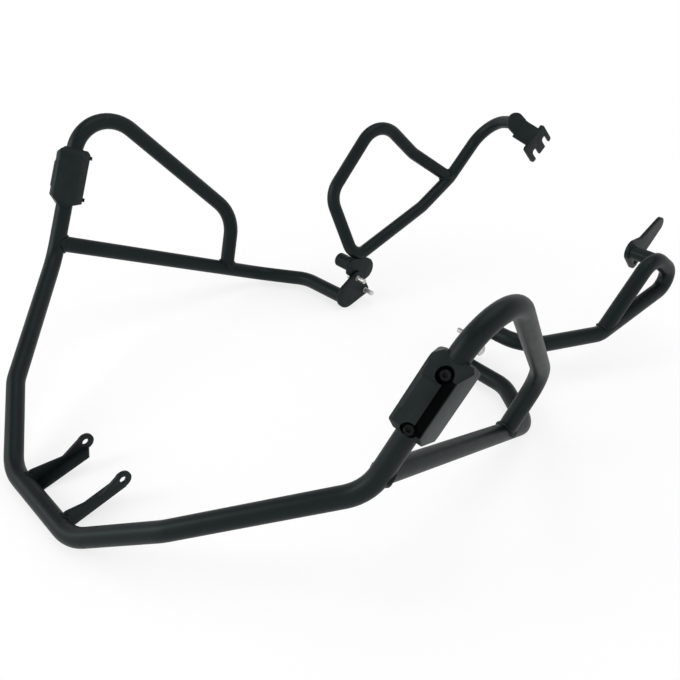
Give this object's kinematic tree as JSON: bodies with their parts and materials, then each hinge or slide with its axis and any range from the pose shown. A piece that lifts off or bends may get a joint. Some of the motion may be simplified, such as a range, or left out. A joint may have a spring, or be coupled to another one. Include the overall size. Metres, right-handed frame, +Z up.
{
  "type": "motorcycle crash bars",
  "caption": "Tubular motorcycle crash bars: a bent front hoop with two plastic sliders, cross tubes, bolted flange plates and a different rear bar on each side",
  "frame": {"origin": "on the floor, at the middle of the part's length and width", "axes": "+X to the right of the machine, +Y to its rear, +Z up from the floor the bars stand on"},
  "size_m": [0.8275, 1.0454, 0.3404],
  "materials": {
    "black_coat": "satin black powder coat on steel tube and plate",
    "black_plastic": "moulded black polyamide, fine grain",
    "bright_steel": "zinc-plated steel fasteners",
    "black_zinc": "black passivated zinc on the slider screws and nuts"
  },
  "bodies": {
    "root": {"cross_tube_left": "black_coat", "cross_tube_right": "black_coat", "end_bracket_right": "black_coat", "end_stub_right": "black_coat", "flange_bolts_left": "bright_steel", "flange_bolts_right": "bright_steel", "flange_washers_left": "bright_steel", "flange_washers_right": "bright_steel", "fork_bracket_left": "black_coat", "front_plate_left": "black_coat", "front_plate_right": "black_coat", "front_tab_left": "black_coat", "front_tab_right": "black_coat", "loop_tube_left": "black_coat", "loop_tube_right": "black_coat", "main_hoop": "black_coat", "rear_plate_left": "black_coat", "rear_plate_right": "black_coat", "rear_tube_left": "black_coat", "rear_tube_right": "black_coat", "slider_back_left": "black_plastic", "slider_back_right": "black_plastic", "slider_front_left": "black_plastic", "slider_front_right": "black_plastic", "slider_nuts_left": "black_zinc", "slider_nuts_right": "black_zinc", "slider_screws_left": "black_zinc", "slider_screws_right": "black_zinc", "stub_cap_left": "black_plastic", "stub_left": "black_coat"}
  },
  "joints": []
}
